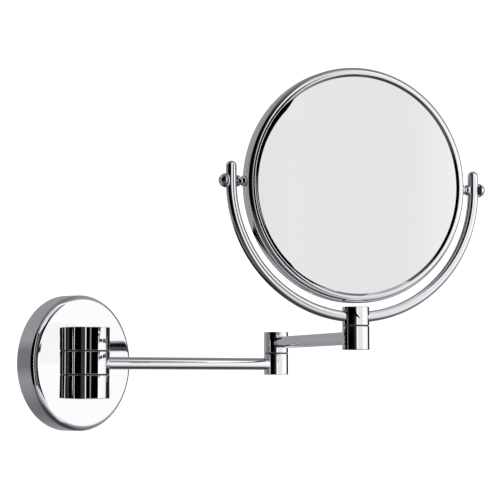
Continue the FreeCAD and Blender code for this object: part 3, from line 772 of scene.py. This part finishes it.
screw = loft(screw_loops(), [math.tau * k / SCREW_STEPS for k in range(SCREW_STEPS)])
spacer = spin(rounded(spacer_section()), SCREW_STEPS)
washer = spin(rounded([(SCREW, tube_out), (WASHER, tube_out, WASHER_BREAK), (WASHER, head_low, WASHER_BREAK),
                       (SCREW, head_low)]), WASHER_STEPS)
pair("tilt_screws", screw, chrome_turned, "pivot_screws")
pair("tilt_spacers", spacer, chrome_turned, "pivot_spacers")
pair("tilt_washers", washer, black_nylon, "pivot_washers")

# %% [markdown]
# ## Inner pieces
#
# The pins, nuts, springs, washers and the wall bracket already have their real shape in the frame, and most
# of them are hidden. They stay as they are and only get a finish.

# %% Finishes for the pieces that stay
STEEL = ["cover_grub_screw", "hub_fixing_screws", "hub_pivot_pin", "hub_spring_washer", "hub_lock_nut",
         "elbow_pin", "elbow_spring_washer", "elbow_lock_nut", "swivel_pin", "swivel_spring_washer",
         "pivot_bosses"]
NYLON = ["hub_upper_washer", "hub_lower_washer", "elbow_washer", "swivel_washer"]
KEPT = [(STEEL, turned_steel), (NYLON, black_nylon), (["wall_bracket"], zinc_plate),
        (["core_ring"], core_plastic)]
for names, material in KEPT:
    for node in names:
        for one in frame["nodes"][node].material_slots:
            one.material = material
print("kept nodes:", sum(len(names) for names, material in KEPT))

# %% [markdown]
# ## Studio
#
# Chrome has no look of its own: it shows what surrounds it. Here that is a room, which is the world itself,
# and in front of it a few cards that each serve one piece. The camera's own background could do for the
# room, but a plain one would leave the metal flat and pale.
#
# The hub stands in a darker place than the rest: dark cloth hangs close in front of it. Near cards only
# fill a small part of what the other pieces see, and they are clear from further off, so they change the
# hub and hardly anything else. The camera doesn't see them and they cast no shadow.

# %% Cards round the hub
CARD_LOW, CARD_HIGH, CARD_STEP, NEAR, FAR = -0.07, 0.1, 3, 0.065, 0.14
# From and to, in compass degrees round the hub, how bright the card is, and how far off it stands.
HUB_CARDS = [(-88.6, -87.0, 1.1, NEAR), (-112, -62, 0.0, FAR), (-62, -44.5, 0.04, FAR),
             (-40.5, -24, 0.0, FAR), (-24, -19, 0.3, FAR), (-19, 14, 0.0, FAR)]
SEEN_WITHIN = 0.19


def screen_finish(name, level, measure, compare, limit):
    """A glow that shows where a measure of the ray compares well with the limit, and is clear elsewhere."""
    material = bpy.data.materials.new(name)
    material.use_nodes = True
    tree = material.node_tree
    tree.nodes.clear()
    shows = math_node(tree, compare, wire(tree, "ShaderNodeLightPath").outputs[measure], limit)
    clear = wire(tree, "ShaderNodeBsdfTransparent")
    glow = wire(tree, "ShaderNodeEmission", {"Color": (1, 1, 1, 1), "Strength": level})
    both = wire(tree, "ShaderNodeMixShader", {0: shows, 1: clear.outputs[0], 2: glow.outputs[0]})
    wire(tree, "ShaderNodeOutputMaterial", {"Surface": both.outputs[0]})
    return material


def card(edges, material, matrix=Matrix()):
    """A screen skinned over a row of edges, each a pair of points. It is seen only in reflections."""
    verts = [matrix @ Vector(point) for edge in edges for point in edge]
    faces = [(2 * k, 2 * k + 1, 2 * k + 3, 2 * k + 2) for k in range(len(edges) - 1)]
    mesh = bpy.data.meshes.new("card")
    mesh.from_pydata(verts, [], faces)
    mesh.materials.append(material)
    screen = bpy.data.objects.new("card", mesh)
    bpy.context.scene.collection.objects.link(screen)
    for kind in ("camera", "diffuse", "shadow", "transmission", "volume_scatter"):
        setattr(screen, f"visible_{kind}", False)


def turns(start, end):
    """Angles from start to end, both in degrees, in steps of about three degrees."""
    steps = max(2, round((end - start) / CARD_STEP))
    return [math.radians(start + (end - start) * k / steps) for k in range(steps + 1)]


def uprights(points, low, high):
    """Upright edges over points of a plan."""
    return [((x, y, low), (x, y, high)) for x, y in points]


def round_the_hub(start, end, distance):
    """Points on a circle round the hub, by compass."""
    return [(hub_at.x + distance * math.sin(a), hub_at.y - distance * math.cos(a)) for a in turns(start, end)]


for start, end, level, distance in HUB_CARDS:
    card(uprights(round_the_hub(start, end, distance), CARD_LOW, CARD_HIGH),
         screen_finish("hub_card", level, "Ray Length", "LESS_THAN", SEEN_WITHIN))
print("hub cards:", len(HUB_CARDS))

# %% [markdown]
# Three more cards serve one surface each. A white one keeps the arm's reflection off the left half of the
# cover's face. A dark arc stands across the mirror from its bevel, and is black only to a ray that has
# already bounced twice, so the mirror itself doesn't show it. A dark ring close in front of the rim's left
# half keeps the crown of the rim dark there.

# %% Cards for the cover and for the rim
# Lengths are in metres and angles in degrees. The ring's ends narrow over RING_FADE degrees.
COVER_CARD = [(0.07, -0.166), (0.125, -0.166)]
COVER_CARD_LOW, COVER_CARD_HIGH, COVER_LEVEL, SEEN_BEYOND = 0.0, 0.045, 1.0, 0.165
ARC_RADIUS, ARC_LOW, ARC_HIGH, ARC_FROM, ARC_TO, ARC_BOUNCES = 0.17, 0.008, 0.115, -38, 84, 1.5
RING_IN, RING_OUT, RING_FRONT, RING_FROM, RING_TO = 0.0945, 0.112, 0.04, 97, 268
RING_SEEN, RING_FADE = 0.06, 38
RING_SHIFT = Matrix.Translation((0.0114, 0.0012, 0))
BLACK = 0.0

card(uprights(COVER_CARD, COVER_CARD_LOW, COVER_CARD_HIGH),
     screen_finish("cover_card", COVER_LEVEL, "Ray Length", "GREATER_THAN", SEEN_BEYOND))
arc = [(ARC_RADIUS * math.cos(a), ARC_RADIUS * math.sin(a)) for a in turns(ARC_FROM, ARC_TO)]
card(uprights(arc, ARC_LOW, ARC_HIGH),
     screen_finish("dark_arc", BLACK, "Glossy Depth", "GREATER_THAN", ARC_BOUNCES), HEAD_FACING)


def ring_edge(angle):
    """The ring's inner and outer point at an angle. It narrows to nothing at both ends."""
    from_end = min(math.degrees(angle) - RING_FROM, RING_TO - math.degrees(angle))
    inner = RING_OUT - (RING_OUT - RING_IN) * min(1, from_end / RING_FADE)
    x, y = math.cos(angle), math.sin(angle)
    return (inner * x, inner * y, RING_FRONT), (RING_OUT * x, RING_OUT * y, RING_FRONT)


card([ring_edge(a) for a in turns(RING_FROM, RING_TO)],
     screen_finish("dark_ring", BLACK, "Ray Length", "LESS_THAN", RING_SEEN), HEAD_FACING @ RING_SHIFT)
print("arc and ring:", ARC_TO - ARC_FROM, RING_TO - RING_FROM, "degrees")

# %% [markdown]
# The floor is a large pale sheet well below the object, and two square lamps light the matt pieces.
# Reflections show neither of them, so the chrome has only the room and the cards to show.

# %% Floor and lamps
FLOOR_HEIGHT, FLOOR_SIZE = -1.2, 60.0
PAPER, PAPER_ROUGHNESS = 0.97, 0.9


def floor():
    """A wide sheet of pale paper, left out of reflections."""
    edge = FLOOR_SIZE / 2
    corners = ((-edge, -edge), (edge, -edge), (edge, edge), (-edge, edge))
    mesh = bpy.data.meshes.new("floor")
    mesh.from_pydata([(x, y, FLOOR_HEIGHT) for x, y in corners], [], [(0, 1, 2, 3)])
    sheet = bpy.data.objects.new("floor", mesh)
    bpy.context.scene.collection.objects.link(sheet)
    material = bpy.data.materials.new("pale_paper")
    material.use_nodes = True
    shader = material.node_tree.nodes["Principled BSDF"]
    shader.inputs["Base Color"].default_value = (PAPER, PAPER, PAPER, 1)
    shader.inputs["Roughness"].default_value = PAPER_ROUGHNESS
    mesh.materials.append(material)
    sheet.visible_glossy = False


def softbox(name, direction, distance, size, watts):
    """A square lamp that looks at the camera's aim from a distance in metres."""
    light = bpy.data.objects.new(name, bpy.data.lights.new(name, "AREA"))
    light.data.shape = "RECTANGLE"
    light.data.size, light.data.size_y = size, size
    light.data.energy = watts
    light.location = AIM + Vector(direction).normalized() * distance
    light.rotation_euler = (AIM - light.location).to_track_quat("-Z", "Y").to_euler()
    light.visible_glossy = False
    bpy.context.scene.collection.objects.link(light)


floor()
softbox("key", direction=(-1.0, -1.2, 1.0), distance=2.2, size=1.4, watts=40)
softbox("fill", direction=(1.0, -0.8, 0.5), distance=2.4, size=1.6, watts=20)
print("floor at", FLOOR_HEIGHT, "m")

# %% [markdown]
# ## The room round the object
#
# The world has two faces. To the camera and to matt surfaces it is plain white. To a reflection it is a
# studio: a row of softboxes and dark cloths round the object, a grey ceiling above and a darker floor
# below. A ready picture of a room is the usual way to get one. Four curves need no file, and each stop on
# them moves one streak in the metal. One curve gives the light by compass direction, for the walls, and one
# by height, for the ceiling and the floor. The other two say where the walls show and how far up they
# reach. The darker a part of the room is, the more it leans towards lavender.

# %% The world: white to the camera, a studio to the chrome
# Compass directions are in degrees from straight out of the wall, growing towards +X.
ROUND_THE_ROOM = [(-180, 0.35), (-158, 0.3), (-146, 0.2), (-131, 0.19), (-125, 0.25), (-119, 0.0),
                  (-72, 0.0), (-58, 0.03), (-47, 0.06), (-43, 1.1), (-33, 0.95), (-22, 0.8), (-14, 0.85),
                  (0, 0.84), (20, 1.1), (50, 1.05), (66, 0.95), (71, 0.02), (124, 0.02), (134, 0.34),
                  (180, 0.35)]
FROM_BELOW_UP = [(-90, 0.05), (-57, 0.06), (-46, 0.16), (-33, 0.26), (-14, 0.34), (22, 0.34), (45, 0.32),
                 (58, 0.2), (90, 0.2)]
WALLS_SHOW = [(-90, 0.0), (-20, 0.0), (-4, 1.0), (14, 1.0), (26, 0.0), (90, 0.0)]
# In front of the object the walls reach high up and far down: there the height counts for less.
WALLS_REACH = [(-180, 1.0), (-126, 1.0), (-112, 0.3), (30, 0.3), (44, 1.0), (180, 1.0)]
LAVENDER = (0.93, 0.925, 1.0)
PLAIN_LEVEL = 1.2
DEGREES = 180 / math.pi


def ramp(tree, value, stops):
    """A piecewise straight curve through (place, level) stops, read at a value on the stops' own scale."""
    low, high = stops[0][0], stops[-1][0]
    share = wire(tree, "ShaderNodeMapRange", {"Value": value, "From Min": low, "From Max": high})
    node = wire(tree, "ShaderNodeFloatCurve", {"Value": share.outputs["Result"]})
    curve = node.mapping.curves[0]
    node.mapping.use_clip = False
    while len(curve.points) < len(stops):
        curve.points.new(0.5, 0.5)
    for point, (at, level) in zip(curve.points, stops):
        point.location = ((at - low) / (high - low), level)
        point.handle_type = "VECTOR"
    node.mapping.update()
    return node.outputs["Value"]


def studio_world():
    """Plain white for the camera and matt surfaces; for glossy rays, a level from the ray's direction."""
    world = bpy.data.worlds.new("studio")
    world.use_nodes = True
    tree = world.node_tree
    tree.nodes.clear()
    look = wire(tree, "ShaderNodeTexCoord").outputs["Generated"]
    part = wire(tree, "ShaderNodeSeparateXYZ", {"Vector": look}).outputs
    minus_y = math_node(tree, "MULTIPLY", part["Y"], -1.0)
    compass = math_node(tree, "MULTIPLY", math_node(tree, "ARCTAN2", part["X"], minus_y), DEGREES)
    height = math_node(tree, "MULTIPLY", math_node(tree, "ARCSINE", part["Z"]), DEGREES)
    reach = math_node(tree, "MULTIPLY", height, ramp(tree, compass, WALLS_REACH))
    level = wire(tree, "ShaderNodeMix", {"Factor": ramp(tree, reach, WALLS_SHOW),
                                         "A": ramp(tree, height, FROM_BELOW_UP),
                                         "B": ramp(tree, compass, ROUND_THE_ROOM)}).outputs["Result"]
    tint = wire(tree, "ShaderNodeMix", {"Factor": level, "A": (*LAVENDER, 1), "B": (1, 1, 1, 1)},
                data_type="RGBA", clamp_factor=True)
    studio = wire(tree, "ShaderNodeBackground", {"Color": tint.outputs["Result"], "Strength": level})
    plain = wire(tree, "ShaderNodeBackground", {"Color": (1, 1, 1, 1), "Strength": PLAIN_LEVEL})
    glossy = wire(tree, "ShaderNodeLightPath").outputs["Is Glossy Ray"]
    both = wire(tree, "ShaderNodeMixShader", {0: glossy, 1: plain.outputs[0], 2: studio.outputs[0]})
    wire(tree, "ShaderNodeOutputWorld", {"Surface": both.outputs[0]})
    bpy.context.scene.world = world


studio_world()
bpy.context.scene.view_settings.view_transform = "Standard"
print("studio stops:", len(ROUND_THE_ROOM), "round,", len(FROM_BELOW_UP), "up")
